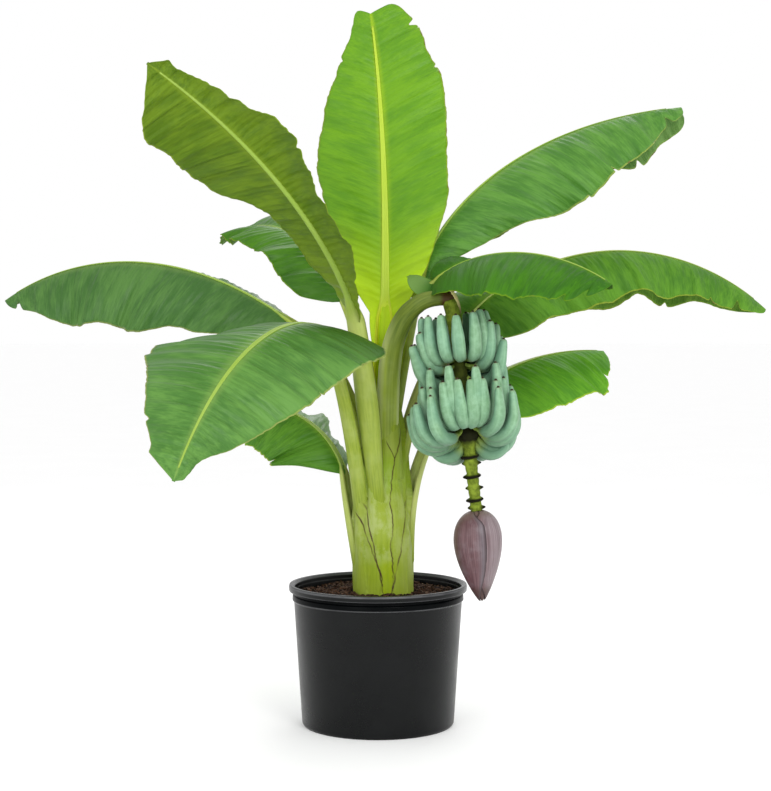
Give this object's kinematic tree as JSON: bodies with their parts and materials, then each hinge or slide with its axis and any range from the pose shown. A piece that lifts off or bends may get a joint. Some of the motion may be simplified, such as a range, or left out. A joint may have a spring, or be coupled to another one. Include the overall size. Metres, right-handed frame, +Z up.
{
  "type": "banana plant",
  "caption": "Potted banana plant with broad arching leaves, a hanging bunch of unripe blue-green fruit and a purple flower bud, in a round black nursery pot.",
  "frame": {"origin": "centre of the pot's flat underside", "axes": "+Z up; +X towards the side where the fruit bunch hangs; -Y towards the side of the two front leaves"},
  "size_m": [1.9341, 1.1789, 1.7702],
  "materials": {
    "pot": "satin black moulded plastic",
    "soil": "loose dark compost and bark",
    "stem": "smooth waxy green leaf sheaths",
    "leaf_stalk": "smooth waxy green",
    "leaf": "semi-gloss, pleated by its veins",
    "young_leaf": "semi-gloss, pleated by its veins",
    "flower_stalk": "green with brown scars",
    "fruit": "waxy blue-green bloom",
    "bud": "waxy purple bracts"
  },
  "bodies": {
    "root": {"pot": "pot", "soil": "soil", "pseudostem": "stem", "flower_stalk": "flower_stalk", "bunch_stalk": "flower_stalk", "fruit_hand_1": "fruit", "fruit_hand_2": "fruit", "fruit_hand_3": "fruit", "fruit_hand_4": "fruit", "flower_bud": "bud", "crown_stalk": "leaf_stalk", "crown_blade": "young_leaf", "upper_left_stalk": "leaf_stalk", "upper_left_blade_inner": "leaf", "upper_left_blade_outer": "leaf", "rear_left_stalk": "leaf_stalk", "rear_left_blade_inner": "leaf", "rear_left_blade_outer": "leaf", "long_left_stalk": "leaf_stalk", "long_left_blade_inner": "leaf", "long_left_blade_outer": "leaf", "front_left_stalk": "leaf_stalk", "front_left_blade_inner": "leaf", "front_left_blade_outer": "leaf", "low_left_stalk": "leaf_stalk", "low_left_blade_inner": "leaf", "low_left_blade_outer": "leaf", "upper_right_stalk": "leaf_stalk", "upper_right_blade_inner": "leaf", "upper_right_blade_outer": "leaf", "front_right_stalk": "leaf_stalk", "front_right_blade_inner": "leaf", "front_right_blade_outer": "leaf", "long_right_stalk": "leaf_stalk", "long_right_blade_inner": "leaf", "long_right_blade_outer": "leaf", "low_right_stalk": "leaf_stalk", "low_right_blade_inner": "leaf", "low_right_blade_outer": "leaf"}
  },
  "joints": []
}
